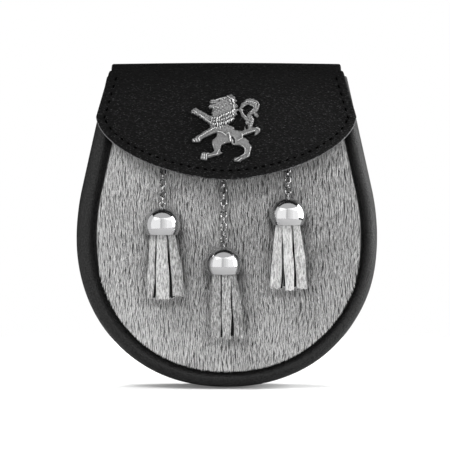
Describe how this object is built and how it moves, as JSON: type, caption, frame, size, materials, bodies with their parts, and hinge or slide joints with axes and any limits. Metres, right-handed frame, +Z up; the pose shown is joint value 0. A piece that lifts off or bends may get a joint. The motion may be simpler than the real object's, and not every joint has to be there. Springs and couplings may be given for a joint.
{
  "type": "sporran pouch",
  "caption": "Round-bottomed leather sporran pouch with a fur front, a curved flap with a cast lion badge, and chain tassels with ball caps.",
  "frame": {"origin": "midway between the two rear strap loops, in the middle of the strap's way through them, where the belt strap holds the pouch", "axes": "+Z up as worn, +Y towards the wearer, so the fur front faces -Y, +X to the right seen from the front"},
  "size_m": [0.18, 0.0666, 0.1938],
  "materials": {
    "black_leather": "pebble grain, semi-gloss",
    "grey_fur": "short grey hair on hide",
    "suede_strips": "napped suede",
    "chrome": "polished",
    "antique_metal": "antique casting, dark in its hollows"
  },
  "bodies": {
    "root": {"back_panel": "black_leather", "ball_left": "chrome", "ball_middle": "chrome", "ball_right": "chrome", "belt_loop_left": "black_leather", "belt_loop_right": "black_leather", "chain_left_link_01": "chrome", "chain_left_link_02": "chrome", "chain_left_link_03": "chrome", "chain_left_link_04": "chrome", "chain_left_link_05": "chrome", "chain_left_link_06": "chrome", "chain_left_link_07": "chrome", "chain_middle_link_01": "chrome", "chain_middle_link_02": "chrome", "chain_middle_link_03": "chrome", "chain_middle_link_04": "chrome", "chain_middle_link_05": "chrome", "chain_middle_link_06": "chrome", "chain_middle_link_07": "chrome", "chain_middle_link_08": "chrome", "chain_middle_link_09": "chrome", "chain_middle_link_10": "chrome", "chain_middle_link_11": "chrome", "chain_middle_link_12": "chrome", "chain_right_link_01": "chrome", "chain_right_link_02": "chrome", "chain_right_link_03": "chrome", "chain_right_link_04": "chrome", "chain_right_link_05": "chrome", "chain_right_link_06": "chrome", "flap": "black_leather", "fur_front": "grey_fur", "gusset": "black_leather", "lion_badge": "antique_metal", "snap_stud": "antique_metal", "staple_left": "chrome", "staple_middle": "chrome", "staple_right": "chrome", "tassel_left": "suede_strips", "tassel_middle": "suede_strips", "tassel_right": "suede_strips"}
  },
  "joints": []
}
